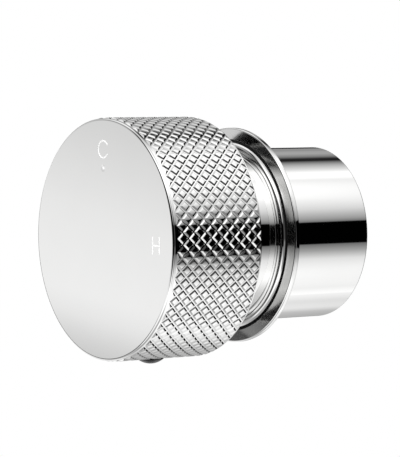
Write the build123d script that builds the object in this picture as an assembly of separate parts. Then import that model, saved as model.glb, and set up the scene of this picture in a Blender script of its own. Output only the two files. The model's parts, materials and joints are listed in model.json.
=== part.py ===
"""Wall-mounted tap handle: knurled knob, dress sleeve and sliding wall flange.

Frame: millimetres, +Z up, +Y into the wall along the tap's axis, -Y towards the user.
The origin is on the axis, in the plane of the finished wall (the flange's back face).
Depths are measured along the axis from the knob's front face.
"""
import os
from math import cos, pi, radians, sin

from build123d import *

# Sleeve: the tube that dresses the valve's barrel
sleeve_diameter = 36.4
sleeve_groove_floor = 0.8       # metal left outside the seal groove
sleeve_tail = 21.65             # reach behind the wall plane
sleeve_front_gap = 0.4          # behind the knob's boss
sleeve_edge = 0.3               # outer edge break
sleeve_lead = 0.6               # lead-in chamfer at the rear mouth
sleeve_seal_section = 1.2
sleeve_seal_inset = 6.0         # from the rear end to the seal's centre

# Knob
handle_length = 22.0
face_plate = 6.0                # solid metal behind the front face
rim_wall = 4.75                 # from the cavity to the bottom of the knurl
front_land = 0.8                # plain edge in front of the knurl
rear_land = 0.2                 # plain edge behind the knurl
front_round = 0.5               # radius of the edge of the front face
front_round_steps = 3
rear_break = 0.12
boss_wall = 3.5
boss_length = 9.2
cavity_fillet = 1.0
cavity_lead = 0.4

# Diamond knurl on the knob's rim
knurl_count = 60                # teeth in one turn
knurl_rows = 15                 # half pitches along the rim
knurl_depth = 0.2
knurl_groove_share = 0.45       # share of the pitch taken by the grooves

# Spindle bush, grub screw and cover plug
spindle_bore = 8.0
bush_wall = 2.0
bush_seat = 1.0                 # socket depth in front of the boss's root
screw_depth = 11.75             # screw axis behind the front face
grub_diameter = 5.0
grub_length = 6.0
grub_setback = 0.15             # point held back from the spindle bore
grub_point = 0.5                # chamfer of the point
grub_key = 2.5                  # hexagon socket across flats
grub_key_depth = 2.5
plug_diameter = 5.6
plug_stem = 3.6                 # length inside the rim
plug_dome = 1.05                # height above the knurl

# Glide ring between knob and sleeve
glide_wall = 1.8
glide_length = 4.0
glide_inset = 0.5               # from the knob's rear face
glide_chamfer = 0.3

# Wall flange
neck_gap = 9.1                  # bare sleeve between knob and flange collar
collar_height = 0.95
collar_wall = 1.4
collar_round = 0.6
flange_brim = 2.95              # reach of the plate beyond the collar
flange_thickness = 1.3
flange_edge = 0.3
hub_length = 1.9
hub_floor = 0.8                 # metal left outside the seal groove
flange_seal_section = 1.14
groove_play = 0.4               # groove width beyond the seal's section
hub_lip = 0.9                   # metal behind the seal groove
hub_chamfer = 0.3

# Clearances, per side
running_clearance = 0.05
sliding_clearance = 0.05
seal_clearance = 0.02
screw_clearance = 0.02
plug_clearance = 0.03

tolerance = 1e-4                # for finding an edge by its radius and depth

# Worked-out sizes
sleeve_radius = sleeve_diameter / 2
sleeve_groove_radius = sleeve_radius - sleeve_groove_floor
barrel_radius = sleeve_groove_radius - sleeve_seal_section
glide_bore_radius = sleeve_radius + running_clearance
cavity_radius = glide_bore_radius + glide_wall
valley_radius = cavity_radius + rim_wall
handle_radius = valley_radius + knurl_depth
bush_radius = spindle_bore / 2 + bush_wall
boss_radius = bush_radius + boss_wall
boss_end = face_plate + boss_length
cavity_middle = (boss_radius + cavity_radius) / 2
bush_front = face_plate + bush_seat
sleeve_front = boss_end + sleeve_front_gap
collar_front = handle_length + neck_gap
flange_front = collar_front + collar_height
wall_depth = flange_front + flange_thickness
sleeve_end = wall_depth + sleeve_tail
flange_bore_radius = sleeve_radius + sliding_clearance
collar_radius = flange_bore_radius + collar_wall
flange_radius = collar_radius + flange_brim
flange_groove_radius = flange_bore_radius + flange_seal_section
hub_radius = flange_groove_radius + hub_floor
hub_end = wall_depth + hub_length
flange_seal_depth = hub_end - hub_lip - (flange_seal_section + groove_play) / 2
sleeve_seal_depth = sleeve_end - sleeve_seal_inset

half_pitch = (handle_length - front_land - rear_land) / knurl_rows
half_step = 180 / knurl_count
apex_radius = valley_radius + knurl_depth / knurl_groove_share


def axial(depth):
    """Y coordinate of a depth behind the front face."""
    return depth - wall_depth


def turned(*outline):
    """Solid turned about the tap's axis from (radius, depth) corners."""
    corners = [(radius, axial(depth)) for radius, depth in outline]
    return revolve(make_face(Polyline(*corners, close=True)), Axis.Y)


def tube(inner, outer, start, end):
    """Plain ring between two radii and two depths."""
    return turned((inner, start), (outer, start), (outer, end), (inner, end))


def circles(part, radius, depth):
    """Circular edges of a turned part at one radius and depth."""
    def wanted(edge):
        place = edge.arc_center.Y - axial(depth)
        return abs(edge.radius - radius) < tolerance and abs(place) < tolerance
    return part.edges().filter_by(GeomType.CIRCLE).filter_by(wanted)


def seal_ring(inner, outer, depth):
    """O-ring of round section that fills a groove between two radii."""
    section = (outer - inner) / 2 - seal_clearance
    centre = (inner + outer) / 2
    profile = Pos(centre, axial(depth)) * Circle(section)
    return revolve(profile, Axis.Y)


def radial_pin(radius, start, end):
    """Cylinder on the screw's axis, below the tap's axis, between two distances from it."""
    place = Plane(origin=(0, axial(screw_depth), -start), z_dir=(0, 0, -1))
    return place * Cylinder(radius, end - start, align=(Align.CENTER, Align.CENTER, Align.MIN))


# Knurl: each tooth is a pyramid on four groove crossings, cut flat at the knob's radius

def rim_point(radius, angle, depth):
    """Point on the rim at an angle from the right, turning upwards."""
    turn = radians(angle)
    return Vector(radius * cos(turn), axial(depth), radius * sin(turn))


def row_depth(row):
    return front_land + row * half_pitch


def tooth_angle(row, index):
    return (2 * index + row % 2) * half_step


def facet(*corners):
    return Face(Wire.make_polygon(corners, close=True))


def crest(corner, apex, angle):
    """Point where the pyramid's edge from a groove crossing reaches the knob's radius."""
    outward = rim_point(1, angle, wall_depth)
    share = (handle_radius - corner.dot(outward)) / (apex.dot(outward) - corner.dot(outward))
    return corner + (apex - corner) * share


def full_tooth(row, index):
    angle = tooth_angle(row, index)
    depth = row_depth(row)
    apex = rim_point(apex_radius, angle, depth)
    feet = [
        rim_point(valley_radius, angle, depth - half_pitch),
        rim_point(valley_radius, angle + half_step, depth),
        rim_point(valley_radius, angle, depth + half_pitch),
        rim_point(valley_radius, angle - half_step, depth),
    ]
    tops = [crest(foot, apex, angle) for foot in feet]
    flanks = [facet(feet[i - 1], feet[i], tops[i], tops[i - 1]) for i in range(4)]
    return [*flanks, facet(*tops)]


def end_tooth(row, index, inward):
    """Half tooth at an end of the knurl, cut away at 45 degrees by the edge break."""
    angle = tooth_angle(row, index)
    depth = row_depth(row)
    apex = rim_point(apex_radius, angle, depth)
    feet = [
        rim_point(valley_radius, angle + half_step, depth),
        rim_point(valley_radius, angle, depth + inward * half_pitch),
        rim_point(valley_radius, angle - half_step, depth),
    ]
    left, tip, right = [crest(foot, apex, angle) for foot in feet]
    run = (handle_radius - valley_radius * cos(radians(half_step))) / abs(tip.Y - left.Y)
    left = left + (tip - left) * run
    right = right + (tip - right) * run
    return [
        facet(feet[0], feet[1], tip, left),
        facet(feet[1], feet[2], right, tip),
        facet(left, tip, right),
        facet(feet[0], left, right, feet[2]),
    ]


def edge_rings(row, profile):
    """Facets of a plain edge that starts at the groove crossings of an end row."""
    angles = [tooth_angle(row, index) + half_step for index in range(knurl_count)]
    rings = [[rim_point(radius, angle, depth) for angle in angles] for radius, depth in profile]
    sides = [
        facet(near[i - 1], near[i], far[i], far[i - 1])
        for near, far in zip(rings, rings[1:])
        for i in range(knurl_count)
    ]
    return [*sides, facet(*rings[-1])]


def knurled_blank():
    """Solid knob with its knurled rim and broken edges."""
    turns = range(knurl_count)
    skin = [face for row in range(1, knurl_rows) for i in turns for face in full_tooth(row, i)]
    for row, inward in ((0, 1), (knurl_rows, -1)):
        skin += [face for i in turns for face in end_tooth(row, i, inward)]
    bends = [pi / 2 * step / front_round_steps for step in range(front_round_steps + 1)]
    front = [(valley_radius, front_land)] + [
        (valley_radius - front_round * (1 - cos(bend)), front_round * (1 - sin(bend))) for bend in bends
    ]
    rear = [
        (valley_radius, handle_length - rear_land),
        (valley_radius, handle_length - rear_break),
        (valley_radius - rear_break, handle_length),
    ]
    skin += edge_rings(0, front) + edge_rings(knurl_rows, rear)
    return Solid(Shell(skin))


def knob():
    """Knob: knurled blank, hollowed from behind round a boss, and drilled for the screw."""
    cavity = tube(boss_radius, cavity_radius, face_plate, handle_length)
    root = circles(cavity, boss_radius, face_plate) + circles(cavity, cavity_radius, face_plate)
    cavity = fillet(root, cavity_fillet)
    behind_boss = tube(0, boss_radius, boss_end, handle_length)
    socket = tube(0, bush_radius, bush_front, boss_end)
    lead = turned(
        (cavity_radius, handle_length - cavity_lead),
        (cavity_radius + cavity_lead, handle_length),
        (cavity_radius, handle_length),
    )
    screw_hole = radial_pin(grub_diameter / 2 + screw_clearance, spindle_bore / 2, cavity_middle)
    plug_hole = radial_pin(plug_diameter / 2 + plug_clearance, cavity_middle, handle_radius + rim_wall)
    return knurled_blank() - [cavity, behind_boss, socket, lead, screw_hole, plug_hole]


def spindle_bush():
    """Bush in the knob's boss that takes the valve spindle, drilled for the grub screw."""
    bush = tube(spindle_bore / 2, bush_radius, bush_front, boss_end)
    return bush - radial_pin(grub_diameter / 2 + screw_clearance, 0, boss_radius)


def grub_screw():
    """Headless screw with a chamfered point and a hexagon socket."""
    start = spindle_bore / 2 + grub_setback
    screw = radial_pin(grub_diameter / 2, start, start + grub_length)
    screw = chamfer(screw.edges().group_by(Axis.Z)[-1], grub_point)
    mouth = Plane(origin=(0, axial(screw_depth), -start - grub_length), z_dir=(0, 0, 1))
    hexagon = RegularPolygon(grub_key / 2, 6, major_radius=False)
    return screw - extrude(mouth * hexagon, grub_key_depth)


def screw_plug():
    """Push-in plug with a domed head that closes the screw's hole in the rim."""
    radius = plug_diameter / 2
    inner = valley_radius - plug_stem
    crown = handle_radius + plug_dome
    sphere = (radius**2 + plug_dome**2) / (2 * plug_dome)
    half = radius / 2
    shoulder = (radius, handle_radius)
    halfway = (half, crown - sphere + (sphere**2 - half**2) ** 0.5)
    profile = make_face([
        Line((0, inner), (radius, inner)),
        Line((radius, inner), shoulder),
        ThreePointArc(shoulder, halfway, (0, crown)),
        Line((0, crown), (0, inner)),
    ])
    plane = Plane(origin=(0, axial(screw_depth), 0), x_dir=(1, 0, 0), z_dir=(0, 1, 0))
    return revolve(plane * profile, Axis((0, axial(screw_depth), 0), (0, 0, -1)))


def glide_ring():
    """Low-friction ring, pressed into the knob, that runs on the sleeve's neck."""
    end = handle_length - glide_inset
    ring = tube(glide_bore_radius, cavity_radius, end - glide_length, end)
    return chamfer(circles(ring, glide_bore_radius, end), glide_chamfer)


def sleeve():
    """Dress sleeve: a bright tube with a seal groove near its rear mouth."""
    body = tube(barrel_radius, sleeve_radius, sleeve_front, sleeve_end)
    body = fillet(circles(body, sleeve_radius, sleeve_end), sleeve_edge)
    body = chamfer(circles(body, sleeve_radius, sleeve_front), sleeve_edge)
    body = chamfer(circles(body, barrel_radius, sleeve_end), sleeve_lead)
    half = (sleeve_seal_section + groove_play) / 2
    groove = tube(barrel_radius, sleeve_groove_radius, sleeve_seal_depth - half, sleeve_seal_depth + half)
    return body - groove


def flange():
    """Wall flange: thin plate with a rounded collar in front and a short hub with a seal groove."""
    body = turned(
        (flange_bore_radius, collar_front),
        (collar_radius, collar_front),
        (collar_radius, flange_front),
        (flange_radius, flange_front),
        (flange_radius, wall_depth),
        (hub_radius, wall_depth),
        (hub_radius, hub_end),
        (flange_bore_radius, hub_end),
    )
    body = fillet(circles(body, collar_radius, collar_front), collar_round)
    body = fillet(circles(body, flange_radius, flange_front), flange_edge)
    body = chamfer(circles(body, hub_radius, hub_end), hub_chamfer)
    half = (flange_seal_section + groove_play) / 2
    groove = tube(
        flange_bore_radius, flange_groove_radius, flange_seal_depth - half, flange_seal_depth + half
    )
    return body - groove


parts = {
    "knurled_handle": knob(),
    "spindle_bush": spindle_bush(),
    "grub_screw": grub_screw(),
    "screw_plug": screw_plug(),
    "glide_ring": glide_ring(),
    "sleeve": sleeve(),
    "sleeve_seal": seal_ring(barrel_radius, sleeve_groove_radius, sleeve_seal_depth),
    "flange": flange(),
    "flange_seal": seal_ring(flange_bore_radius, flange_groove_radius, flange_seal_depth),
}

os.makedirs("parts", exist_ok=True)
for name, shape in parts.items():
    export_step(shape, f"parts/{name}.step")
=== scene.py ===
"""Dresses a wall tap handle: the knurled knob, its sleeve and wall flange, and the small pieces inside.

Metres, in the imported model's frame: +Z up, +Y into the wall along the tap's axis, the wall plane at Y = 0.
"""

import json
import math

import bmesh
import bpy
from bpy.props import FloatProperty, FloatVectorProperty, IntProperty, PointerProperty
from mathutils import Matrix, Vector


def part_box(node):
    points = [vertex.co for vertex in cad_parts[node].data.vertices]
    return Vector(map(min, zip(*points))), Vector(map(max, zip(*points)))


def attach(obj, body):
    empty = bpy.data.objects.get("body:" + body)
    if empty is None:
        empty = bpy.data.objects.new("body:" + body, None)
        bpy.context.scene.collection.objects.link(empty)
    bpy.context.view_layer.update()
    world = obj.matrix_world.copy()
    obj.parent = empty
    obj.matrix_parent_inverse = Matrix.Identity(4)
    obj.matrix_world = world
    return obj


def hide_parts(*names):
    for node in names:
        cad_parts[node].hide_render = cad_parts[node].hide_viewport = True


bl_info = {
    "name": "Knurled Tap Handle",
    "version": (1, 0, 0),
    "blender": (4, 5, 0),
    "location": "View3D > Sidebar > Tap Handle",
    "description": "Builds a chromed tap handle with a diamond knurl, a dress sleeve and a wall flange",
    "category": "Add Mesh",
}

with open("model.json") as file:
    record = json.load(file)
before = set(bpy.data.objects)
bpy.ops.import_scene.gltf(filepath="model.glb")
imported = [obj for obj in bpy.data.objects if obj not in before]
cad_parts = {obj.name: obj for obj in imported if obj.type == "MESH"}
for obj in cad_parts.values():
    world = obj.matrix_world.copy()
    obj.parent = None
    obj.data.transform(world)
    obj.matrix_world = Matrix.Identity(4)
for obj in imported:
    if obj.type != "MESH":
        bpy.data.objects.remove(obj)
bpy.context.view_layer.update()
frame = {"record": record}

MM = 0.001
PHOTO_HEIGHT = 457              # the longer side of the picture, which the sensor is matched to
SHARP_ANGLE = math.radians(12)
MERGE_DISTANCE = 1e-7
SEAM_DISTANCE = 1e-6
CUTTER_REACH = 1.2              # reach of a hole's cutter, in outer radii of what it cuts
PLUG_HOLE_START = 1.5           # start of the plug's hole in the cavity, in radii of the boss


# Facets of the round shapes

ROUND_STEPS = 8                 # in a rounded edge
RING_STEPS = 256                # round the sleeve, the glide ring and the flange
SEAL_STEPS, SECTION_STEPS = 192, 24
BUSH_STEPS = 128
PLUG_STEPS = 96
SCREW_STEPS = 64                # round the screw and the holes on its axis
LETTER_STEPS = 64
DOT_STEPS = 48
FLOOR_STEPS = 96
LAND_CUTS = 3                   # cuts between two teeth where the knurl ends
CREST_STEPS = 2                 # in the rounded edges of the teeth


# Places in a piece's list of materials

CHROME, INSIDE, MARK = range(3)
# The slot for the groove at the collar's foot holds a finish of painted shade
FOOT_SHADE, PLATE = 1, 2              # on the flange, after its chrome


# Sizes that come with the frame

def turned_size(node):
    """Outer radius, start and end along the axis of a turned node of the frame."""
    low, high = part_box(node)
    return high.x, low.y, high.y


def bore_radius(mount):
    """Radius of a bore among the record's mounts."""
    for entry in frame["record"]["mounts"]:
        if entry["name"] == mount:
            return entry["dims"]["r_mm"] * MM
    raise KeyError(mount)


KNOB_RADIUS, FACE_AT, KNOB_REAR = turned_size("knurled_handle")
BUSH_RADIUS, BUSH_FRONT, BOSS_END = turned_size("spindle_bush")
CAVITY_RADIUS, GLIDE_FRONT, GLIDE_REAR = turned_size("glide_ring")
SLEEVE_RADIUS, SLEEVE_FRONT, SLEEVE_REAR = turned_size("sleeve")
SLEEVE_SEAL_RADIUS, SLEEVE_SEAL_FRONT, SLEEVE_SEAL_REAR = turned_size("sleeve_seal")
FLANGE_RADIUS, COLLAR_FRONT, HUB_END = turned_size("flange")
FLANGE_SEAL_RADIUS, FLANGE_SEAL_FRONT, FLANGE_SEAL_REAR = turned_size("flange_seal")
SCREW_RADIUS, SCREW_TIP_Y, SCREW_FAR_Y = turned_size("grub_screw")
SCREW_Y = (SCREW_TIP_Y + SCREW_FAR_Y) / 2
SCREW_OUT, SCREW_IN = (corner.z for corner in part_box("grub_screw"))
PLUG_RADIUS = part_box("screw_plug")[1].x
PLUG_CROWN, PLUG_INNER = (corner.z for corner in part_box("screw_plug"))


# Settings that a user would change

def length(label, about, default):
    """A length setting in metres."""
    return FloatProperty(name=label, description=about, default=default, min=0, precision=5, unit="LENGTH")


def colour(label, about, default):
    """A colour setting."""
    return FloatVectorProperty(
        name=label, description=about, default=default, min=0, max=1, size=3, subtype="COLOR"
    )


def share(label, about, default):
    """A setting from 0 to 1."""
    return FloatProperty(name=label, description=about, default=default, min=0, max=1, subtype="FACTOR")


def degrees(label, about, default):
    """An angle setting, with its default in degrees."""
    return FloatProperty(name=label, description=about, default=math.radians(default), subtype="ANGLE")


def position(label, about, default):
    """A place in metres."""
    return FloatVectorProperty(
        name=label, description=about, default=default, size=3, subtype="TRANSLATION", unit="LENGTH"
    )


class KnobSettings(bpy.types.PropertyGroup):
    """Sizes of the knurled knob."""

    knurl_count: IntProperty(name="Knurl Count", description="Teeth in one turn", default=60, min=12)
    knurl_rows: IntProperty(name="Knurl Rows", description="Half pitches along the rim", default=15, min=3)
    knurl_depth: length("Knurl Depth", "Depth of the grooves between the teeth", 0.2 * MM)
    groove_share: share("Groove Share", "Share of the pitch that the grooves take", 0.45)
    groove_floor: length("Groove Floor", "Width of the flat floor of a groove", 0.22 * MM)
    crest_round: length("Crest Round", "Rounding of the teeth's edges", 0.04 * MM)
    front_land: length("Front Land", "Plain edge in front of the knurl", 0.8 * MM)
    rear_land: length("Rear Land", "Plain edge behind the knurl", 0.2 * MM)
    front_round: length("Front Round", "Radius of the face's edge", 0.5 * MM)
    rear_break: length("Rear Break", "Chamfer of the rear edge", 0.12 * MM)
    face_plate: length("Face Plate", "Solid metal behind the face", 6 * MM)
    boss_wall: length("Boss Wall", "Metal round the spindle bush", 3.5 * MM)
    cavity_fillet: length("Cavity Fillet", "Radius at the cavity's floor", 1 * MM)
    cavity_lead: length("Cavity Lead", "Chamfer at the cavity's mouth", 0.4 * MM)
    hole_play: length("Hole Play", "Clearance round the plug and the screw", 0.03 * MM)


class MarkSettings(bpy.types.PropertyGroup):
    """Sizes and places of the cold and hot marks and the pointer on the face."""

    letter_height: length("Letter Height", "Height of the hot mark", 3.55 * MM)
    letter_width: length("Letter Width", "Width of the hot mark", 2.6 * MM)
    ring: length("Ring", "Diameter of the cold mark", 3.8 * MM)
    opening: degrees("Opening", "Half angle of the cold mark's opening", 30)
    stroke: length("Stroke", "Width of the engraved strokes", 0.32 * MM)
    depth: length("Depth", "Depth of the engraving", 0.08 * MM)
    cold_height: length("Cold Height", "Height of the cold mark above the axis", 18.55 * MM)
    hot_offset: length("Hot Offset", "Distance of the hot mark from the axis", 18.7 * MM)
    hot_drop: length("Hot Drop", "Distance of the hot mark below the axis", 0.25 * MM)
    dot_height: length("Dot Height", "Height of the pointer above the axis", 14.65 * MM)
    # The pointer's white spot is a painted highlight: the bright etch finish stands in for the glint in the
    # middle of the real dimple
    painted_highlight_radius: length("Highlight Radius", "Radius of the pointer's bright spot", 0.3 * MM)
    dimple_radius: length("Dimple Radius", "Radius of the dimple round the spot", 0.8 * MM)
    dimple_depth: length("Dimple Depth", "Depth of the dimple", 0.03 * MM)


class SleeveSettings(bpy.types.PropertyGroup):
    """Sizes of the dress sleeve and the glide ring that runs on it."""

    edge: length("Edge", "Rounding of the sleeve's outer edges", 0.3 * MM)
    lead: length("Lead", "Chamfer at the rear mouth", 0.6 * MM)
    groove_play: length("Groove Play", "Groove width beyond the seal's section", 0.4 * MM)
    seal_gap: length("Seal Gap", "Gap between a seal and the floor of its groove", 0.02 * MM)
    glide_gap: length("Glide Gap", "Gap between the glide ring and the sleeve", 0.05 * MM)
    glide_chamfer: length("Glide Chamfer", "Lead of the glide ring's bore", 0.3 * MM)
    small_edge: length("Small Edge", "Break of the small inner edges", 0.12 * MM)


class FlangeSettings(bpy.types.PropertyGroup):
    """Sizes of the sliding wall flange."""

    bore_gap: length("Bore Gap", "Gap between the flange and the sleeve", 0.05 * MM)
    collar_height: length("Collar Height", "Height of the collar in front of the plate", 0.95 * MM)
    collar_wall: length("Collar Wall", "Thickness of the collar", 1.4 * MM)
    collar_round: length("Collar Round", "Rounding of the collar's outer edge", 0.85 * MM)
    foot_width: length("Foot Width", "Width of the groove at the collar's foot", 0.5 * MM)
    foot_depth: length("Foot Depth", "Depth of the groove at the collar's foot", 0.35 * MM)
    plate_fall: length("Plate Fall", "Fall of the plate's front from the collar to the rim", 0.2 * MM)
    edge: length("Edge", "Rounding of the plate's front edge", 0.3 * MM)
    hub_floor: length("Hub Floor", "Metal outside the seal groove", 0.8 * MM)
    hub_chamfer: length("Hub Chamfer", "Chamfer of the hub's rear edge", 0.3 * MM)


class ScrewSettings(bpy.types.PropertyGroup):
    """Sizes of the spindle bush, the grub screw and its cover plug."""

    key: length("Key", "Hexagon socket across flats", 2.5 * MM)
    key_depth: length("Key Depth", "Depth of the hexagon socket", 2.5 * MM)
    point: length("Point", "Chamfer of the screw's ends", 0.5 * MM)
    thread_pitch: length("Thread Pitch", "Pitch of the screw's thread", 0.8 * MM)
    thread_depth: length("Thread Depth", "Depth of the screw's thread", 0.4 * MM)
    bush_edge: length("Bush Edge", "Break of the bush's edges", 0.2 * MM)


class FinishSettings(bpy.types.PropertyGroup):
    """Colours and gloss of the finishes."""

    chrome: colour("Chrome", "Colour of the plated metal", (0.80, 0.80, 0.795))
    chrome_roughness: share("Chrome Roughness", "Roughness of the plated metal", 0.035)
    plate_roughness: share("Plate Roughness", "Roughness of the flange's front face", 0.12)
    inside: colour("Inside", "Colour of the plain metal inside the knob", (0.56, 0.56, 0.55))
    # Painted shade: near black, for the shadow in the groove at the collar's foot, not the metal's own
    # colour
    foot_shade: colour("Foot Shade", "Colour of the groove at the collar's foot", (0.03, 0.03, 0.03))
    mark: colour("Mark", "Colour of the etched marks", (0.97, 0.97, 0.965))
    brass: colour("Brass", "Colour of the spindle bush", (0.72, 0.50, 0.20))
    steel: colour("Steel", "Colour of the grub screw", (0.32, 0.32, 0.33))
    plug: colour("Plug", "Colour of the cover plug", (0.012, 0.012, 0.013))
    acetal: colour("Acetal", "Colour of the glide ring", (0.016, 0.016, 0.017))
    rubber: colour("Rubber", "Colour of the seals", (0.018, 0.018, 0.019))


class StudioSettings(bpy.types.PropertyGroup):
    """The camera, the floor and the light."""

    camera_place: position(
        "Camera Place", "Where the camera stands", (0.473433, FACE_AT - 0.320373, 0.032687)
    )
    azimuth: degrees("Azimuth", "Turn of the camera about the vertical", 53.93)
    elevation: degrees("Elevation", "Tilt of the camera above the axis", 3.04)
    roll: degrees("Roll", "Turn of the camera about its own line of sight", 0.08)
    focal_pixels: FloatProperty(
        name="Focal Length", description="Focal length in pixels of the picture", default=2800, min=100,
        subtype="PIXEL",
    )
    sensor: FloatProperty(
        name="Sensor", description="Sensor size in millimetres", default=36, min=1, unit="CAMERA"
    )
    clip_start: length("Clip Start", "Distance from which the camera sees", 0.01)
    lamp_place: position("Lamp Place", "Where the front lamp stands", (0.15, -0.6, 0.5))
    lamp_size: length("Lamp Size", "Diameter of the front lamp", 0.3)
    lamp_power: FloatProperty(
        name="Lamp Power", description="Power of the front lamp", default=4.0, min=0, unit="POWER"
    )
    floor_drop: length("Floor Drop", "Depth of the floor below the axis", 0.12)
    floor_radius: length("Floor Radius", "Reach of the floor", 0.5)
    floor_fade: share("Floor Fade", "Share of the reach at which the floor starts to fade", 0.4)
    floor: colour("Floor", "Colour of the floor", (0.90, 0.90, 0.90))


SETTINGS = {
    "tap_knob": KnobSettings,
    "tap_marks": MarkSettings,
    "tap_sleeve": SleeveSettings,
    "tap_flange": FlangeSettings,
    "tap_screw": ScrewSettings,
    "tap_finish": FinishSettings,
    "tap_studio": StudioSettings,
}


# Shader sums

class Wire:
    """A socket that takes part in Python sums: each operator adds the Math node that works it out."""

    def __init__(self, tree, socket=None):
        self.tree = tree
        self.socket = socket

    def node(self, kind, settings=None, inputs=None, output=0):
        """Adds a node of one kind, sets it up, feeds its sockets and returns one of its outputs."""
        made = self.tree.nodes.new(kind)
        for name, value in (settings or {}).items():
            if name == "stops":
                set_stops(made.color_ramp.elements, value)
            else:
                setattr(made, name, value)
        for name, value in (inputs or {}).items():
            if isinstance(value, Wire):
                self.tree.links.new(value.socket, made.inputs[name])
            else:
                made.inputs[name].default_value = value
        return Wire(self.tree, made.outputs[output]) if made.outputs else None

    def sum(self, operation, first, second=0.0):
        """Adds one Math node."""
        return self.node("ShaderNodeMath", {"operation": operation}, {0: first, 1: second})

    def __add__(self, other):
        return self.sum("ADD", self, other)

    def __sub__(self, other):
        return self.sum("SUBTRACT", self, other)

    def __rsub__(self, other):
        return self.sum("SUBTRACT", other, self)

    def __mul__(self, other):
        return self.sum("MULTIPLY", self, other)

    def __truediv__(self, other):
        return self.sum("DIVIDE", self, other)

    def __pow__(self, other):
        return self.sum("POWER", self, other)

    __radd__ = __add__
    __rmul__ = __mul__

    def between(self, low, high):
        """0 below low, 1 above high and a soft step between them."""
        limits = {"Value": self, "From Min": low, "From Max": high}
        return self.node("ShaderNodeMapRange", {"interpolation_type": "SMOOTHSTEP"}, limits)

    def ramp(self, low, high, stops):
        """Grey from a list of (value, grey) stops, for values from low to high."""
        places = [((value - low) / (high - low), (grey, grey, grey, 1)) for value, grey in stops]
        return self.node("ShaderNodeValToRGB", {"stops": places}, {0: (self - low) / (high - low)})

    def parts(self):
        """The three parts of a vector."""
        return [self.node("ShaderNodeSeparateXYZ", None, {0: self}, axis) for axis in range(3)]

    def blend(self, first, second):
        """Mixes two colours, by this socket's value."""
        return self.node("ShaderNodeMix", {"data_type": "RGBA"}, {0: self, 6: first, 7: second}, 2)


def set_stops(elements, stops):
    """Gives a colour ramp its stops, in order."""
    while len(elements) < len(stops):
        elements.new(1)
    for element, (place, tint) in zip(elements, stops):
        element.position = place
        element.color = tint


# Finishes

def blank_material(name):
    """A new material with an empty tree, the tree's wire and the Object coordinates."""
    material = bpy.data.materials.new(name)
    material.use_nodes = True
    material.node_tree.nodes.clear()
    wires = Wire(material.node_tree)
    return material, wires, wires.node("ShaderNodeTexCoord", output="Object")


def surface(material, wires, inputs):
    """Ends a material in one Principled shader."""
    shader = wires.node("ShaderNodeBsdfPrincipled", None, inputs)
    wires.node("ShaderNodeOutputMaterial", None, {"Surface": shader})
    return material


def noise(wires, spot, grain, detail=2.0):
    """Noise with grains of a given size."""
    return wires.node("ShaderNodeTexNoise", None, {"Vector": spot, "Scale": 1 / grain, "Detail": detail})


def bump(wires, height, distance):
    """Normal of a surface whose height runs from 0 to distance."""
    return wires.node("ShaderNodeBump", None, {"Strength": 1.0, "Distance": distance, "Height": height})


def tone(amount, tint, low, high):
    """A colour that runs between two brightnesses of one tint."""
    dark = (*(part * low for part in tint), 1)
    light = (*(min(part * high, 1) for part in tint), 1)
    return amount.blend(dark, light)


def lathe_lines(wires, spot, pitch):
    """Fine rings left by turning: noise along the axis and across the radius."""
    x, y, z = spot.parts()
    radius = (x * x + z * z) ** 0.5
    inputs = {"W": (radius + y) / pitch, "Scale": 1.0, "Detail": 2.0}
    return wires.node("ShaderNodeTexNoise", {"noise_dimensions": "1D"}, inputs)


def plating(wires, spot, finish):
    """Faint haze in the plated metal, and the colour that follows it."""
    haze = noise(wires, spot, grain=9 * MM, detail=3.0)
    return haze, tone(haze, finish.chrome, low=0.985, high=1.015)


def chrome_finish(name, finish):
    """Bright plating: mirror polish with a trace of haze and faint polishing marks."""
    material, wires, spot = blank_material(name)
    haze, tint = plating(wires, spot, finish)
    polish = noise(wires, spot, grain=0.25 * MM)
    return surface(material, wires, {
        "Base Color": tint,
        "Metallic": 1.0,
        "Roughness": finish.chrome_roughness * (0.7 + 0.4 * haze + 0.2 * polish),
        "Normal": bump(wires, polish, distance=0.0002 * MM),
    })


def plate_finish(name, finish):
    """Plating over a turned face: fine rings from the lathe soften what it mirrors."""
    material, wires, spot = blank_material(name)
    rings = lathe_lines(wires, spot, pitch=0.15 * MM)
    haze, tint = plating(wires, spot, finish)
    return surface(material, wires, {
        "Base Color": tint,
        "Metallic": 1.0,
        "Roughness": finish.plate_roughness * (0.85 + 0.15 * rings + 0.15 * haze),
        "Normal": bump(wires, rings, distance=0.0003 * MM),
    })


def lathed_finish(name, tint, pitch, patch, detail, shades, roughness, relief):
    """Turned metal: patches vary its colour, rings from the lathe its height, and both its gloss."""
    material, wires, spot = blank_material(name)
    rings = lathe_lines(wires, spot, pitch)
    patches = noise(wires, spot, patch, detail)
    plain, by_patch, by_ring = roughness
    return surface(material, wires, {
        "Base Color": tone(patches, tint, *shades),
        "Metallic": 1.0,
        "Roughness": plain + by_patch * patches + by_ring * rings,
        "Normal": bump(wires, rings, relief),
    })


def inside_finish(name, finish):
    """Plain turned metal, thinly plated."""
    return lathed_finish(
        name, finish.inside, pitch=0.12 * MM, patch=4 * MM, detail=3.0, shades=(0.85, 1.1),
        roughness=(0.28, 0.12, 0.08), relief=0.006 * MM,
    )


def brass_finish(name, finish):
    """Turned brass with a little tarnish."""
    return lathed_finish(
        name, finish.brass, pitch=0.1 * MM, patch=2.5 * MM, detail=4.0, shades=(0.78, 1.12),
        roughness=(0.2, 0.16, 0.08), relief=0.005 * MM,
    )


def grained_finish(name, tint, patch, detail, shades, roughness, relief, grain=None, **sockets):
    """Patches vary the colour and gloss, and a finer grain the height, or the same patches without one."""
    material, wires, spot = blank_material(name)
    patches = noise(wires, spot, patch, detail)
    height = noise(wires, spot, grain) if grain else patches
    plain, by_patch = roughness
    return surface(material, wires, {
        "Base Color": tone(patches, tint, *shades),
        "Roughness": plain + by_patch * patches,
        "Normal": bump(wires, height, relief),
        **sockets,
    })


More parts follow.
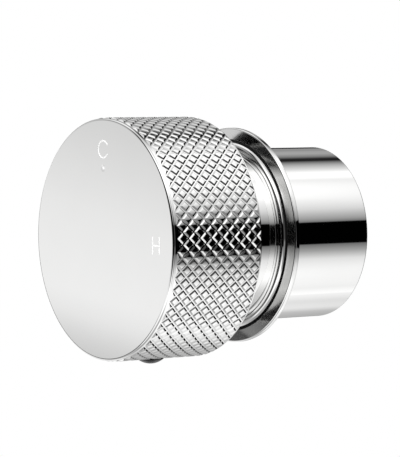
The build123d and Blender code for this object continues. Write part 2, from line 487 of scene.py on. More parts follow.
def foot_shade_finish(name, finish):
    """Near-black dull colour painted into the narrow groove at the collar's foot: painted shade for the
    shadow in the gap.
    """
    return grained_finish(
        name, finish.foot_shade, patch=0.6 * MM, detail=3.0, shades=(0.7, 1.3), roughness=(0.45, 0.2),
        relief=0.004 * MM, Metallic=0.6,
    )


def mark_finish(name, finish):
    """Bright frosted floor of the engraved marks."""
    return grained_finish(
        name, finish.mark, patch=0.05 * MM, detail=2.0, shades=(0.97, 1.02), roughness=(0.5, 0.2),
        relief=0.001 * MM,
    )


def steel_finish(name, finish):
    """Oiled dark steel of the screw."""
    return grained_finish(
        name, finish.steel, patch=1.2 * MM, detail=4.0, shades=(0.7, 1.15), roughness=(0.26, 0.16),
        relief=0.003 * MM, grain=0.08 * MM, Metallic=1.0,
    )


def plug_finish(name, finish):
    """Glossy black moulded plastic."""
    return grained_finish(
        name, finish.plug, patch=1.5 * MM, detail=3.0, shades=(0.8, 1.25), roughness=(0.12, 0.08),
        relief=0.0015 * MM, grain=0.15 * MM, IOR=1.3,
    )


def acetal_finish(name, finish):
    """Black acetal with a fine moulded grain, which also sets its gloss."""
    material, wires, spot = blank_material(name)
    cloud = noise(wires, spot, grain=3 * MM, detail=3.0)
    grain = noise(wires, spot, grain=0.1 * MM)
    return surface(material, wires, {
        "Base Color": tone(cloud, finish.acetal, low=0.8, high=1.3),
        "Roughness": 0.42 + 0.12 * grain,
        "Normal": bump(wires, grain, distance=0.004 * MM),
        "IOR": 1.53,
    })


def rubber_finish(name, finish):
    """Black seal rubber, slightly greased."""
    return grained_finish(
        name, finish.rubber, patch=2 * MM, detail=3.0, shades=(0.8, 1.3), roughness=(0.38, 0.22),
        relief=0.004 * MM, grain=0.06 * MM,
    )


# Mesh tools

def parts_of(made, kind):
    """The vertices, edges or faces among an operator's results."""
    return [part for part in made if isinstance(part, kind)]


def close_up(bm):
    """Merges seams and poles, and turns every face outwards."""
    bmesh.ops.remove_doubles(bm, verts=bm.verts[:], dist=MERGE_DISTANCE)
    bmesh.ops.dissolve_degenerate(bm, dist=MERGE_DISTANCE, edges=bm.edges[:])
    bmesh.ops.recalc_face_normals(bm, faces=bm.faces[:])


def placed_faces(bm):
    """Each face, with its distance from the axis and its place along it."""
    for face in bm.faces:
        spot = face.calc_center_median()
        yield face, math.hypot(spot.x, spot.z), spot.y


def linked(name, data):
    """A new object in the scene."""
    made = bpy.data.objects.new(name, data)
    bpy.context.scene.collection.objects.link(made)
    return made


def mesh_object(bm, name, materials):
    """A new object of a bmesh, which is freed."""
    mesh = bpy.data.meshes.new(name)
    bm.to_mesh(mesh)
    bm.free()
    for material in materials:
        mesh.materials.append(material)
    return linked(name, mesh)


def finished(bm, name, body, nodes, materials):
    """Makes the piece's object, with smooth shading up to the sharp angle, and sets it on its body."""
    piece = mesh_object(bm, name, materials)
    piece.data.shade_smooth()
    piece.data.set_sharp_from_angle(angle=SHARP_ANGLE)
    weighted = piece.modifiers.new("Flat Faces Keep Their Normals", "WEIGHTED_NORMAL")
    weighted.keep_sharp = True
    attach(piece, body)
    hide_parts(*nodes)
    return piece


def spun(bm, steps):
    """Spins a flat section once about the axis, and closes it up."""
    bmesh.ops.spin(
        bm, geom=bm.verts[:] + bm.edges[:], cent=(0, 0, 0), axis=(0, 1, 0), angle=2 * math.pi,
        steps=steps, use_merge=True,
    )
    close_up(bm)
    return bm


def turned(outline, closed=True, steps=RING_STEPS):
    """Spins an outline of (radius, along, rounding) corners. An open one starts and ends on the axis."""
    bm = bmesh.new()
    corners = [bm.verts.new((radius, along, 0)) for radius, along, _ in outline]
    followers = corners[1:] + corners[:1] if closed else corners[1:]
    for start, end in zip(corners, followers):
        bm.edges.new((start, end))
    for rounding in sorted({size for _, _, size in outline if size}):
        chosen = [corner for corner, (_, _, size) in zip(corners, outline) if size == rounding]
        bmesh.ops.bevel(
            bm, geom=chosen, offset=rounding, offset_type="OFFSET", affect="VERTICES",
            segments=ROUND_STEPS, profile=0.5, material=-1, clamp_overlap=True,
        )
    return spun(bm, steps)


def seal(outer_radius, start, end):
    """O-ring of round section that reaches a radius, between two places on the axis."""
    section = (end - start) / 2
    place = Matrix.Translation((outer_radius - section, (start + end) / 2, 0))
    bm = bmesh.new()
    bmesh.ops.create_circle(bm, segments=SECTION_STEPS, radius=section, matrix=place)
    return spun(bm, SEAL_STEPS)


def drop(bm):
    """Turns a piece that was spun about Y to stand on the screw's axis, its end pointing down."""
    bmesh.ops.rotate(bm, verts=bm.verts[:], cent=(0, 0, 0), matrix=Matrix.Rotation(-math.pi / 2, 3, "X"))
    bmesh.ops.translate(bm, verts=bm.verts[:], vec=(0, SCREW_Y, 0))


# Knob

def knurl_sheet(knob, valley_radius):
    """The knurl laid out flat: diamonds cut square at the ends, each raised on sloping flanks."""
    half_step = math.pi * valley_radius / knob.knurl_count
    start = FACE_AT + knob.front_land
    end = KNOB_REAR - knob.rear_land
    half_pitch = (end - start) / knob.knurl_rows
    bm = bmesh.new()
    corners = ((-half_step, 0), (0, -half_pitch), (half_step, 0), (0, half_pitch))
    bm.faces.new([bm.verts.new((across, start + along, 0)) for across, along in corners])
    repeats = ((2 * half_step, 0, knob.knurl_count - 1), (half_step, half_pitch, knob.knurl_rows))
    for across, along, steps in repeats:
        bmesh.ops.spin(
            bm, geom=bm.verts[:] + bm.edges[:] + bm.faces[:], cent=(0, 0, 0), axis=(0, 0, 1), angle=0,
            dvec=(across, along, 0), steps=steps, use_duplicate=True,
        )
    bmesh.ops.remove_doubles(bm, verts=bm.verts[:], dist=MERGE_DISTANCE)
    for place, outwards in ((start, -1), (end, 1)):
        bmesh.ops.bisect_plane(
            bm, geom=bm.verts[:] + bm.edges[:] + bm.faces[:], dist=MERGE_DISTANCE,
            plane_co=(0, place, 0), plane_no=(0, outwards, 0), clear_outer=True,
        )
    side = half_step * half_pitch / math.hypot(half_step, half_pitch)
    crests = bm.faces[:]
    floor = knob.groove_floor / 2
    for thickness, rise in ((floor, 0), (knob.groove_share * side - floor, knob.knurl_depth)):
        bmesh.ops.inset_individual(bm, faces=crests, thickness=thickness, depth=rise, use_even_offset=True)
    rims = list({edge for face in crests for edge in face.edges})
    bmesh.ops.bevel(
        bm, geom=rims, offset=knob.crest_round, offset_type="OFFSET", affect="EDGES",
        segments=CREST_STEPS, profile=0.5, material=-1, clamp_overlap=True,
    )
    top = knob.knurl_depth - MERGE_DISTANCE
    crests = [face for face in bm.faces if all(vert.co.z > top for vert in face.verts)]
    bmesh.ops.poke(bm, faces=crests)
    return bm


def wrap(bm, valley_radius):
    """Bends the flat knurl round the rim and closes its seam."""
    for vert in bm.verts:
        turn = vert.co.x / valley_radius
        radius = valley_radius + vert.co.z
        vert.co = (radius * math.cos(turn), vert.co.y, radius * math.sin(turn))
    bmesh.ops.remove_doubles(bm, verts=bm.verts[:], dist=SEAM_DISTANCE)


def arc(radius, along, size, start, end):
    """Points of a rounded edge about a centre, between two angles in degrees from the radial direction."""
    angles = [math.radians(start + (end - start) * step / ROUND_STEPS) for step in range(ROUND_STEPS + 1)]
    return [(radius + size * math.cos(angle), along + size * math.sin(angle)) for angle in angles]


def run_on(bm, rim, path):
    """Extrudes a round rim through (radius, along) places and closes it with a disc."""
    for radius, along in path:
        made = bmesh.ops.extrude_edge_only(bm, edges=rim)["geom"]
        ring = parts_of(made, bmesh.types.BMVert)
        rim = [edge for edge in parts_of(made, bmesh.types.BMEdge) if edge.is_boundary]
        now = math.hypot(ring[0].co.x, ring[0].co.z)
        bmesh.ops.scale(bm, verts=ring, vec=(radius / now, 1, radius / now))
        bmesh.ops.translate(bm, verts=ring, vec=(0, along - ring[0].co.y, 0))
    bmesh.ops.contextual_create(bm, geom=rim)


def knob_blank(knob):
    """The knurled rim run on to the face in front, and to the cavity and the boss's socket behind."""
    valley_radius = KNOB_RADIUS - knob.knurl_depth
    bm = knurl_sheet(knob, valley_radius)
    cuts = (FACE_AT + knob.front_land, KNOB_REAR - knob.rear_land)
    ends = [
        edge for edge in bm.edges if edge.is_boundary
        and any(all(abs(vert.co.y - cut) < MERGE_DISTANCE for vert in edge.verts) for cut in cuts)
    ]
    bmesh.ops.subdivide_edges(bm, edges=ends, cuts=LAND_CUTS)
    wrap(bm, valley_radius)
    rims = [edge for edge in bm.edges if edge.is_boundary]
    middle = (FACE_AT + KNOB_REAR) / 2
    front = [edge for edge in rims if edge.verts[0].co.y < middle]
    rear = [edge for edge in rims if edge.verts[0].co.y > middle]
    size = knob.front_round
    run_on(bm, front, arc(valley_radius - size, FACE_AT + size, size, 0, -90))
    floor = FACE_AT + knob.face_plate
    fillet = knob.cavity_fillet
    boss_radius = BUSH_RADIUS + knob.boss_wall
    run_on(bm, rear, [
        (valley_radius, KNOB_REAR - knob.rear_break),
        (valley_radius - knob.rear_break, KNOB_REAR),
        (CAVITY_RADIUS + knob.cavity_lead, KNOB_REAR),
        (CAVITY_RADIUS, KNOB_REAR - knob.cavity_lead),
        *arc(CAVITY_RADIUS - fillet, floor + fillet, fillet, 0, -90),
        *arc(boss_radius + fillet, floor + fillet, fillet, 270, 180),
        (boss_radius, BOSS_END),
        (BUSH_RADIUS, BOSS_END),
        (BUSH_RADIUS, BUSH_FRONT),
    ])
    close_up(bm)
    return bm


def letter_c(marks):
    """Cutter for the letter C: a square stroke spun most of the way round."""
    outer = marks.ring / 2
    bm = bmesh.new()
    section = ((-marks.stroke, -1), (0, -1), (0, 1), (-marks.stroke, 1))
    bm.faces.new([bm.verts.new((outer + across, deep * marks.depth, 0)) for across, deep in section])
    bmesh.ops.rotate(bm, verts=bm.verts[:], cent=(0, 0, 0), matrix=Matrix.Rotation(-marks.opening, 3, "Y"))
    bmesh.ops.spin(
        bm, geom=bm.faces[:], cent=(0, 0, 0), axis=(0, -1, 0), angle=2 * (math.pi - marks.opening),
        steps=LETTER_STEPS,
    )
    bmesh.ops.translate(bm, verts=bm.verts[:], vec=(0, FACE_AT, marks.cold_height))
    return bm


def letter_h(marks):
    """Cutter for the letter H: two uprights and a bar, raised from one outline."""
    wide = marks.letter_width / 2
    tall = marks.letter_height / 2
    inner = wide - marks.stroke
    bar = marks.stroke / 2
    half = [(-wide, -tall), (-inner, -tall), (-inner, -bar), (inner, -bar), (inner, -tall), (wide, -tall)]
    outline = half + [(-across, -up) for across, up in half]
    bm = bmesh.new()
    bm.faces.new([bm.verts.new((across, -marks.depth, up)) for across, up in outline])
    made = bmesh.ops.extrude_face_region(bm, geom=bm.faces[:])["geom"]
    bmesh.ops.translate(bm, verts=parts_of(made, bmesh.types.BMVert), vec=(0, 2 * marks.depth, 0))
    bmesh.ops.translate(bm, verts=bm.verts[:], vec=(marks.hot_offset, FACE_AT, -marks.hot_drop))
    return bm


def pointer_dot(marks, radius, deep):
    """Cutter for the pointer: a shallow round dimple below the cold mark."""
    ball = (radius**2 + deep**2) / (2 * deep)
    top = [(radius * step / ROUND_STEPS, 0, 0) for step in range(ROUND_STEPS + 1)]
    bm = turned([*top, (radius, -deep, 0), (0, -deep, 0)], False, DOT_STEPS)
    for vert in bm.verts:
        if vert.co.y > -deep / 2:
            reach = math.hypot(vert.co.x, vert.co.z)
            vert.co.y = deep - ball + math.sqrt(ball**2 - reach**2)
    bmesh.ops.translate(bm, verts=bm.verts[:], vec=(0, FACE_AT, marks.dot_height))
    return bm


def hole(radius, inner, outer):
    """Cutter for a round hole on the screw's axis, between two distances below the tap's axis."""
    bm = turned([(0, inner, 0), (radius, inner, 0), (radius, outer, 0), (0, outer, 0)], False, SCREW_STEPS)
    drop(bm)
    return bm


def carve(piece, bm, material_index):
    """Cuts a closed shape out of a piece, and gives the cut faces one of the piece's materials."""
    bmesh.ops.recalc_face_normals(bm, faces=bm.faces[:])
    for face in bm.faces:
        face.material_index = material_index
        face.smooth = True
    cutter = mesh_object(bm, "cutter", piece.data.materials)
    cut = piece.modifiers.new("Cut", "BOOLEAN")
    cut.operation = "DIFFERENCE"
    cut.solver = "EXACT"
    cut.object = cutter
    weighted = piece.modifiers[0]
    weighted.show_viewport = False
    shaped = piece.evaluated_get(bpy.context.evaluated_depsgraph_get())
    uncut, shape = piece.data, cutter.data
    piece.data = bpy.data.meshes.new_from_object(shaped)
    piece.data.name = uncut.name
    piece.modifiers.remove(cut)
    weighted.show_viewport = True
    bpy.data.objects.remove(cutter)
    bpy.data.meshes.remove(shape)
    bpy.data.meshes.remove(uncut)
    piece.data.set_sharp_from_angle(angle=SHARP_ANGLE)


class KnobOperator(bpy.types.Operator):
    """Build the knurled knob with its cold and hot marks, pointer and screw hole"""

    bl_idname = "tap.knob"
    bl_label = "Build Knob"

    def execute(self, context):
        scene = context.scene
        knob, marks, finish = scene.tap_knob, scene.tap_marks, scene.tap_finish
        bm = knob_blank(knob)
        boss_radius = BUSH_RADIUS + knob.boss_wall
        for face, reach, along in placed_faces(bm):
            if reach < CAVITY_RADIUS + knob.cavity_lead / 2 and along > FACE_AT + knob.face_plate / 2:
                face.material_index = INSIDE
        materials = [
            chrome_finish("knob_chrome", finish), inside_finish("knob_inside", finish),
            mark_finish("etched_mark", finish),
        ]
        piece = finished(bm, "knob", "handle_body", ["knurled_handle"], materials)
        carve(piece, letter_c(marks), MARK)
        carve(piece, letter_h(marks), MARK)
        carve(piece, pointer_dot(marks, marks.dimple_radius, marks.dimple_depth), CHROME)
        # White etch finish in the dimple's middle: a painted highlight for the dimple's glint
        carve(piece, pointer_dot(marks, marks.painted_highlight_radius, marks.depth), MARK)
        screw_hole = hole(SCREW_RADIUS + knob.hole_play, BUSH_RADIUS / 2, boss_radius * CUTTER_REACH)
        carve(piece, screw_hole, INSIDE)
        plug_hole = hole(
            PLUG_RADIUS + knob.hole_play, boss_radius * PLUG_HOLE_START, KNOB_RADIUS * CUTTER_REACH
        )
        carve(piece, plug_hole, INSIDE)
        return {"FINISHED"}


# Sleeve, glide ring and flange

class SleeveOperator(bpy.types.Operator):
    """Build the bright dress sleeve with its seal groove, and the seal in it"""

    bl_idname = "tap.sleeve"
    bl_label = "Build Sleeve"

    def execute(self, context):
        sleeve, finish = context.scene.tap_sleeve, context.scene.tap_finish
        bore = bore_radius("sleeve_bore")
        play = sleeve.groove_play / 2
        groove = SLEEVE_SEAL_RADIUS + sleeve.seal_gap
        bm = turned([
            (bore, SLEEVE_FRONT, sleeve.small_edge),
            (SLEEVE_RADIUS, SLEEVE_FRONT, sleeve.edge),
            (SLEEVE_RADIUS, SLEEVE_REAR, sleeve.edge),
            (bore + sleeve.lead, SLEEVE_REAR, sleeve.small_edge),
            (bore, SLEEVE_REAR - sleeve.lead, sleeve.small_edge),
            (bore, SLEEVE_SEAL_REAR + play, sleeve.small_edge),
            (groove, SLEEVE_SEAL_REAR + play, 0),
            (groove, SLEEVE_SEAL_FRONT - play, 0),
            (bore, SLEEVE_SEAL_FRONT - play, sleeve.small_edge),
        ])
        skin = [chrome_finish("sleeve_chrome", finish), inside_finish("sleeve_inside", finish)]
        for face, reach, _ in placed_faces(bm):
            if reach < groove + sleeve.small_edge:
                face.material_index = INSIDE
        finished(bm, "dress_sleeve", "sleeve_body", ["sleeve"], skin)
        rubber = [rubber_finish("sleeve_seal_rubber", finish)]
        ring = seal(SLEEVE_SEAL_RADIUS, SLEEVE_SEAL_FRONT, SLEEVE_SEAL_REAR)
        finished(ring, "barrel_seal", "sleeve_body", ["sleeve_seal"], rubber)
        return {"FINISHED"}


class GlideOperator(bpy.types.Operator):
    """Build the glide ring that the knob runs on"""

    bl_idname = "tap.glide"
    bl_label = "Build Glide Ring"

    def execute(self, context):
        sleeve, finish = context.scene.tap_sleeve, context.scene.tap_finish
        bore = SLEEVE_RADIUS + sleeve.glide_gap
        bm = turned([
            (bore, GLIDE_FRONT, sleeve.small_edge),
            (CAVITY_RADIUS, GLIDE_FRONT, sleeve.small_edge),
            (CAVITY_RADIUS, GLIDE_REAR, sleeve.small_edge),
            (bore + sleeve.glide_chamfer, GLIDE_REAR, sleeve.small_edge / 2),
            (bore, GLIDE_REAR - sleeve.glide_chamfer, sleeve.small_edge / 2),
        ])
        acetal = [acetal_finish("glide_acetal", finish)]
        finished(bm, "running_ring", "handle_body", ["glide_ring"], acetal)
        return {"FINISHED"}


class FlangeOperator(bpy.types.Operator):
    """Build the sliding wall flange with its rounded collar and seal groove, and the seal in it"""

    bl_idname = "tap.flange"
    bl_label = "Build Flange"

    def execute(self, context):
        scene = context.scene
        flange, finish = scene.tap_flange, scene.tap_finish
        small, play = scene.tap_sleeve.small_edge, scene.tap_sleeve.groove_play / 2
        lip = small / 2
        bore = SLEEVE_RADIUS + flange.bore_gap
        collar = bore + flange.collar_wall
        foot = collar + flange.foot_width
        plate_front = COLLAR_FRONT + flange.collar_height
        groove = FLANGE_SEAL_RADIUS + scene.tap_sleeve.seal_gap
        hub = groove + flange.hub_floor
        bm = turned([
            (bore, COLLAR_FRONT, small),
            (collar, COLLAR_FRONT, flange.collar_round),
            (collar, plate_front + flange.foot_depth, 0),
            (foot, plate_front + flange.foot_depth, 0),
            (foot, plate_front, lip),
            (FLANGE_RADIUS, plate_front + flange.plate_fall, flange.edge),
            (FLANGE_RADIUS, 0, small),
            (hub, 0, small),
            (hub, HUB_END, flange.hub_chamfer),
            (bore, HUB_END, small),
            (bore, FLANGE_SEAL_REAR + play, small),
            (groove, FLANGE_SEAL_REAR + play, 0),
            (groove, FLANGE_SEAL_FRONT - play, 0),
            (bore, FLANGE_SEAL_FRONT - play, small),
        ])
        for face, reach, along in placed_faces(bm):
            # Faces of the groove at the collar's foot take the near-black painted shade
            if collar - small < reach < foot + lip / 2 and plate_front < along < 0:
                face.material_index = FOOT_SHADE
            elif foot < reach and along < plate_front + flange.plate_fall:
                face.material_index = PLATE
        # The foot groove's finish is painted shade
        skin = [
            chrome_finish("flange_chrome", finish), foot_shade_finish("foot_painted_shade", finish),
            plate_finish("plate_chrome", finish),
        ]
        finished(bm, "wall_flange", "flange_body", ["flange"], skin)
        rubber = [rubber_finish("flange_seal_rubber", finish)]
        ring = seal(FLANGE_SEAL_RADIUS, FLANGE_SEAL_FRONT, FLANGE_SEAL_REAR)
        finished(ring, "hub_seal", "flange_body", ["flange_seal"], rubber)
        return {"FINISHED"}


# Bush, screw and plug

class BushOperator(bpy.types.Operator):
    """Build the spindle bush in the knob's boss"""

    bl_idname = "tap.bush"
    bl_label = "Build Spindle Bush"

    def execute(self, context):
        scene = context.scene
        edge = scene.tap_screw.bush_edge
        bore = bore_radius("spindle_bore")
        bm = turned([
            (bore, BUSH_FRONT, edge / 2), (BUSH_RADIUS, BUSH_FRONT, edge / 2),
            (BUSH_RADIUS, BOSS_END, edge / 2), (bore, BOSS_END, edge),
        ], steps=BUSH_STEPS)
        brass = [brass_finish("bush_brass", scene.tap_finish)]
        piece = finished(bm, "brass_bush", "handle_body", ["spindle_bush"], brass)
        carve(piece, hole(SCREW_RADIUS + scene.tap_knob.hole_play, 0, 2 * BUSH_RADIUS), 0)
        return {"FINISHED"}


class ScrewOperator(bpy.types.Operator):
    """Build the grub screw with its thread, point and hexagon socket"""

    bl_idname = "tap.screw"
    bl_label = "Build Grub Screw"

    def execute(self, context):
        screw = context.scene.tap_screw
        inner, outer = -SCREW_IN, -SCREW_OUT
        turns = int((outer - inner - 2 * screw.point) / screw.thread_pitch)
        root = SCREW_RADIUS - screw.thread_depth
        ridges = []
        for turn in range(turns):
            valley = inner + screw.point + (turn + 0.5) * screw.thread_pitch
            ridges += [(root, valley, 0), (SCREW_RADIUS, valley + screw.thread_pitch / 2, 0)]
        bm = turned([
            (0, inner, 0), (SCREW_RADIUS - screw.point, inner, 0), (SCREW_RADIUS, inner + screw.point, 0),
            *ridges, (SCREW_RADIUS - screw.point, outer, 0), (0, outer, 0),
        ], False, SCREW_STEPS)
        drop(bm)
        steel = [steel_finish("screw_steel", context.scene.tap_finish)]
        piece = finished(bm, "clamp_screw", "handle_body", ["grub_screw"], steel)
        key = bmesh.new()
        corner = screw.key / 2 / math.cos(math.pi / 6)
        bmesh.ops.create_cone(
            key, cap_ends=True, segments=6, radius1=corner, radius2=corner, depth=2 * screw.key_depth,
            matrix=Matrix.Translation((0, SCREW_Y, SCREW_OUT)),
        )
        carve(piece, key, 0)
        return {"FINISHED"}


class PlugOperator(bpy.types.Operator):
    """Build the domed plug that closes the screw's hole"""

    bl_idname = "tap.plug"
    bl_label = "Build Cover Plug"

    def execute(self, context):
        scene = context.scene
        inner, crown = -PLUG_INNER, -PLUG_CROWN
        rise = crown - KNOB_RADIUS
        ball = (PLUG_RADIUS**2 + rise**2) / (2 * rise)
        half_angle = math.asin(PLUG_RADIUS / ball)
        steps = 2 * ROUND_STEPS
        dome = [(half_angle * (1 - step / steps)) for step in range(steps)]
        bm = turned([
            (0, inner, 0),
            (PLUG_RADIUS, inner, scene.tap_sleeve.edge),
            *[(ball * math.sin(angle), crown - ball + ball * math.cos(angle), 0) for angle in dome],
            (0, crown, 0),
        ], False, PLUG_STEPS)
        drop(bm)
        plastic = [plug_finish("plug_plastic", scene.tap_finish)]
        finished(bm, "cover_plug", "handle_body", ["screw_plug"], plastic)
        return {"FINISHED"}


# Stage: floor, light and camera

# The light's stops by bearing, in degrees from straight in front of the face, positive to the right

BAND_TOP = (  # height of the dark band's upper edge
    (-180, 0.48), (-165, 0.42), (-150, 0.32), (-140, 0.25), (-118, 0.17), (-112, 0.30), (-45, 0.30),
    (-25, 0.60), (5, 0.50), (15, 0.42), (30, 0.30), (40, 0.215), (68, 0.215), (77, 0.62), (92, 0.62),
    (106, 0.28), (116, 0.215), (140, 0.215), (150, 0.30), (165, 0.42), (180, 0.48),
)
BAND_DEPTH = (  # depth of its lower edge
    (-180, 0.52), (-160, 0.50), (-147, 0.40), (-138, 0.28), (-131, 0.12), (-126, 0.11), (-20, 0.05),
    (5, 0.30), (15, 0.40), (30, 0.28), (40, 0.17), (68, 0.17), (77, 0.58), (92, 0.58), (106, 0.28),
    (116, 0.17), (140, 0.17), (150, 0.28), (165, 0.40), (180, 0.48),
)
STEEPNESS = (  # how fast the light grows beyond the edges
    (-180, 1.6), (-140, 1.6), (-130, 1), (-40, 1), (-20, 2.5), (-8, 2.5), (40, 1), (68, 1), (77, 3.5),
    (95, 3.5), (116, 1), (165, 1), (180, 1.6),
)
HORIZON = (  # level inside the band
    (-180, 25), (-150, 4), (-60, 20), (-20, 45), (10, 22), (32, 2), (68, 2), (77, 74), (97, 72),
    (112, 12), (122, 2), (148, 2), (165, 22), (180, 25),
)


# The light's stops by height, from -1 straight below to 1 straight above

SKY_REACH, GROUND_REACH = 0.5, 0.6
SKY = (  # level by distance above the band
    (0, 4), (0.015, 117), (0.065, 154), (0.145, 184), (0.225, 214), (0.355, 242), (0.415, 262),
)
GROUND = (  # level by distance below the band
    (0, 4), (0.015, 108), (0.05, 126), (0.13, 160), (0.197, 194), (0.26, 223), (0.33, 235), (0.41, 245),
    (0.52, 262),
)
SCREEN = (  # level of the screen that the face mirrors
    (-0.80, 232), (-0.42, 215), (-0.27, 70), (-0.137, 75), (-0.120, 178), (-0.098, 200), (-0.082, 238),
    (-0.05, 231), (-0.015, 209), (0.10, 200), (0.35, 190), (0.65, 245), (0.80, 262),
)
FRONT_SHARE = (  # share of the light from the front, which the flange's plate mirrors
    (-0.2, 0.8), (0.2, 0), (0.32, 0.08), (0.44, 0.35), (0.55, 0.9), (0.62, 1.4),
)


# Shares of the light from above and below by the sideways part of its direction, for the neck and the tail

ABOVE_SHARE = (
    (-0.80, 0.45), (-0.637, 0.43), (-0.562, 0.31), (-0.487, 0.2), (-0.417, 0.02), (-0.355, 0.01),
    (-0.29, 0.2), (-0.223, 0.38), (-0.10, 0.68), (-0.01, 1),
)
BELOW_SHARE = ((-0.60, 0.52), (-0.53, 0.55), (-0.40, 0.79), (-0.17, 0.81), (0.03, 1))


# Other values of the light

WHITE_LEVEL, GAMMA = 255, 2.2
BAND_EDGE = 0.015               # softness of the band's edges
BENCH_LEVEL = 110               # pale bench inside the band on the right
SCREEN_TILT = 0.0053            # rise of the screen's edge for each degree to the right
SCREEN_MIDDLE = -56
CROWN_LOSS, PIT_LOSS = 0.35, 0.62    # light taken away straight above and straight below


def lit(level, chrome):
    """Light that shows at a level of 0 to 255 where the chrome mirrors it."""
    return (level / WHITE_LEVEL) ** GAMMA / chrome


def floor_disc(studio):
    """Pale floor that fades out at its rim."""
    bm = bmesh.new()
    bmesh.ops.create_circle(
        bm, cap_ends=True, segments=FLOOR_STEPS, radius=studio.floor_radius,
        matrix=Matrix.Translation((0, 0, -studio.floor_drop)),
    )
    material, wires, spot = blank_material("floor_white")
    x, y, _ = spot.parts()
    reach = (x * x + y * y) ** 0.5
    fade = reach.between(studio.floor_fade * studio.floor_radius, studio.floor_radius)
    matt = wires.node("ShaderNodeBsdfDiffuse", None, {"Color": (*studio.floor, 1)})
    clear = wires.node("ShaderNodeBsdfTransparent")
    wires.node("ShaderNodeOutputMaterial", None, {
        "Surface": wires.node("ShaderNodeMixShader", None, {0: fade, 1: matt, 2: clear}),
    })
    floor = mesh_object(bm, "floor", [material])
    floor.visible_glossy = False


def studio_light(chrome):
    """White light above and below a dark band that runs right round, and a pale screen on the left."""
    def levels(stops):
        return [(place, lit(level, chrome)) for place, level in stops]

    def round_about(stops):
        return bearing.ramp(-180, 180, stops)

    world = bpy.data.worlds.new("studio")
    bpy.context.scene.world = world
    world.use_nodes = True
    world.node_tree.nodes.clear()
    wires = Wire(world.node_tree)
    x, y, z = wires.node("ShaderNodeTexCoord", output="Generated").parts()
    bearing = wires.sum("ARCTAN2", x, 0 - y) * math.degrees(1)

    # The band, and the light that grows above and below it
    steepness = round_about(STEEPNESS)
    over = (z - round_about(BAND_TOP)) * steepness
    under = (0 - z - round_about(BAND_DEPTH)) * steepness
    sky = over.ramp(0, SKY_REACH, levels(SKY))
    ground = under.ramp(0, GROUND_REACH, levels(GROUND))
    band = (1 - over.between(0, BAND_EDGE)) * (1 - under.between(0, BAND_EDGE))
    bench = bearing.between(70, 78) * (1 - bearing.between(96, 104)) * (1 - z.between(-0.12, -0.04))
    in_band = band * (round_about(levels(HORIZON)) + bench * lit(BENCH_LEVEL, chrome))

    # Light from the front, made up for a second mirroring and shaded where the flange's plate mirrors it
    twice = 1 + (1 / chrome - 1) * (1 - y.between(-0.4, -0.2))
    front_share = z.ramp(-1, 1, FRONT_SHARE)
    shaded = 1 - (1 - y.between(-0.70, -0.60)) * (1 - front_share)

    # The screen
    tilted = z + (bearing - SCREEN_MIDDLE) * SCREEN_TILT
    screen = tilted.ramp(-1, 1, levels(SCREEN))
    on_screen = bearing.between(-105, -95) * (1 - bearing.between(-42, -32))
    around = on_screen.blend((sky + ground) * twice * shaded + in_band, screen)

    # Less light high and low behind, and straight above and below
    behind = (y * y).between(0.01, 0.16)
    upper = behind * z.between(0.2, 0.4)
    lower = behind * (1 - z.between(-0.4, -0.2))
    above = 1 - upper * (1 - x.ramp(-1, 1, ABOVE_SHARE))
    below = 1 - lower * (1 - x.ramp(-1, 1, BELOW_SHARE))
    crown = 1 - CROWN_LOSS * z.between(0.86, 0.98)
    pit = 1 - PIT_LOSS * (1 - z.between(-0.95, -0.70)) * (1 - y.between(0.40, 0.55))

    seen = wires.node("ShaderNodeLightPath", output="Is Camera Ray")
    mirrored = around * above * below * crown * pit
    light = wires.node("ShaderNodeBackground", None, {"Color": seen.blend(mirrored, (1, 1, 1, 1))})
    wires.node("ShaderNodeOutputWorld", None, {"Surface": light})


def front_lamp(studio):
    """Soft lamp in front, for the marks and the floor. The chrome doesn't mirror it."""
    data = bpy.data.lights.new("front_lamp", "AREA")
    data.shape = "DISK"
    data.size = studio.lamp_size
    data.energy = studio.lamp_power
    lamp = linked("front_lamp", data)
    place = Vector(studio.lamp_place)
    lamp.matrix_world = Matrix.Translation(place) @ place.to_track_quat("Z", "Y").to_matrix().to_4x4()
    lamp.visible_glossy = False


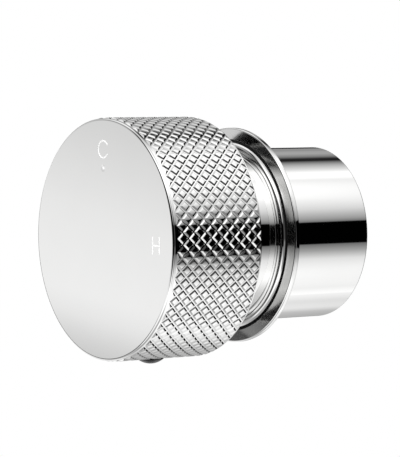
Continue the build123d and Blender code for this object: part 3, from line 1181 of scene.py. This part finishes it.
def camera(studio):
    """Camera at the picture's place and angle."""
    data = bpy.data.cameras.new("camera")
    data.sensor_fit = "AUTO"
    data.sensor_width = studio.sensor
    data.lens = studio.focal_pixels * studio.sensor / PHOTO_HEIGHT
    data.clip_start = studio.clip_start
    eye = linked("camera", data)
    turn = Matrix.Rotation(studio.azimuth, 4, "Z")
    tilt = Matrix.Rotation(math.pi / 2 - studio.elevation, 4, "X")
    roll = Matrix.Rotation(studio.roll, 4, "Z")
    eye.matrix_world = Matrix.Translation(studio.camera_place) @ turn @ tilt @ roll
    bpy.context.scene.camera = eye


class StageOperator(bpy.types.Operator):
    """Set the pale floor, the soft studio light and the camera"""

    bl_idname = "tap.stage"
    bl_label = "Set Stage"

    def execute(self, context):
        scene = context.scene
        floor_disc(scene.tap_studio)
        studio_light(scene.tap_finish.chrome[1])
        front_lamp(scene.tap_studio)
        camera(scene.tap_studio)
        scene.view_settings.view_transform = "Standard"
        return {"FINISHED"}


# Panel and registration

OPERATORS = (
    KnobOperator, SleeveOperator, GlideOperator, FlangeOperator, BushOperator, ScrewOperator, PlugOperator,
    StageOperator,
)


class TapPanel(bpy.types.Panel):
    """Lists the handle's settings and the operators that build it"""

    bl_idname = "VIEW3D_PT_tap_handle"
    bl_label = "Tap Handle"
    bl_space_type = "VIEW_3D"
    bl_region_type = "UI"
    bl_category = "Tap Handle"

    def draw(self, context):
        for operator in OPERATORS:
            self.layout.operator(operator.bl_idname)
        for name in SETTINGS:
            box = self.layout.box()
            settings = getattr(context.scene, name)
            for setting in settings.bl_rna.properties.keys():
                if setting not in {"rna_type", "name"}:
                    box.prop(settings, setting)


def register():
    for name, group in SETTINGS.items():
        bpy.utils.register_class(group)
        setattr(bpy.types.Scene, name, PointerProperty(type=group))
    for kind in (*OPERATORS, TapPanel):
        bpy.utils.register_class(kind)


def unregister():
    for kind in reversed((*OPERATORS, TapPanel)):
        bpy.utils.unregister_class(kind)
    for name, group in reversed(SETTINGS.items()):
        delattr(bpy.types.Scene, name)
        bpy.utils.unregister_class(group)


def main():
    register()
    bpy.ops.tap.knob()
    bpy.ops.tap.sleeve()
    bpy.ops.tap.glide()
    bpy.ops.tap.flange()
    bpy.ops.tap.bush()
    bpy.ops.tap.screw()
    bpy.ops.tap.plug()
    bpy.ops.tap.stage()


if __name__ == "__main__":
    main()
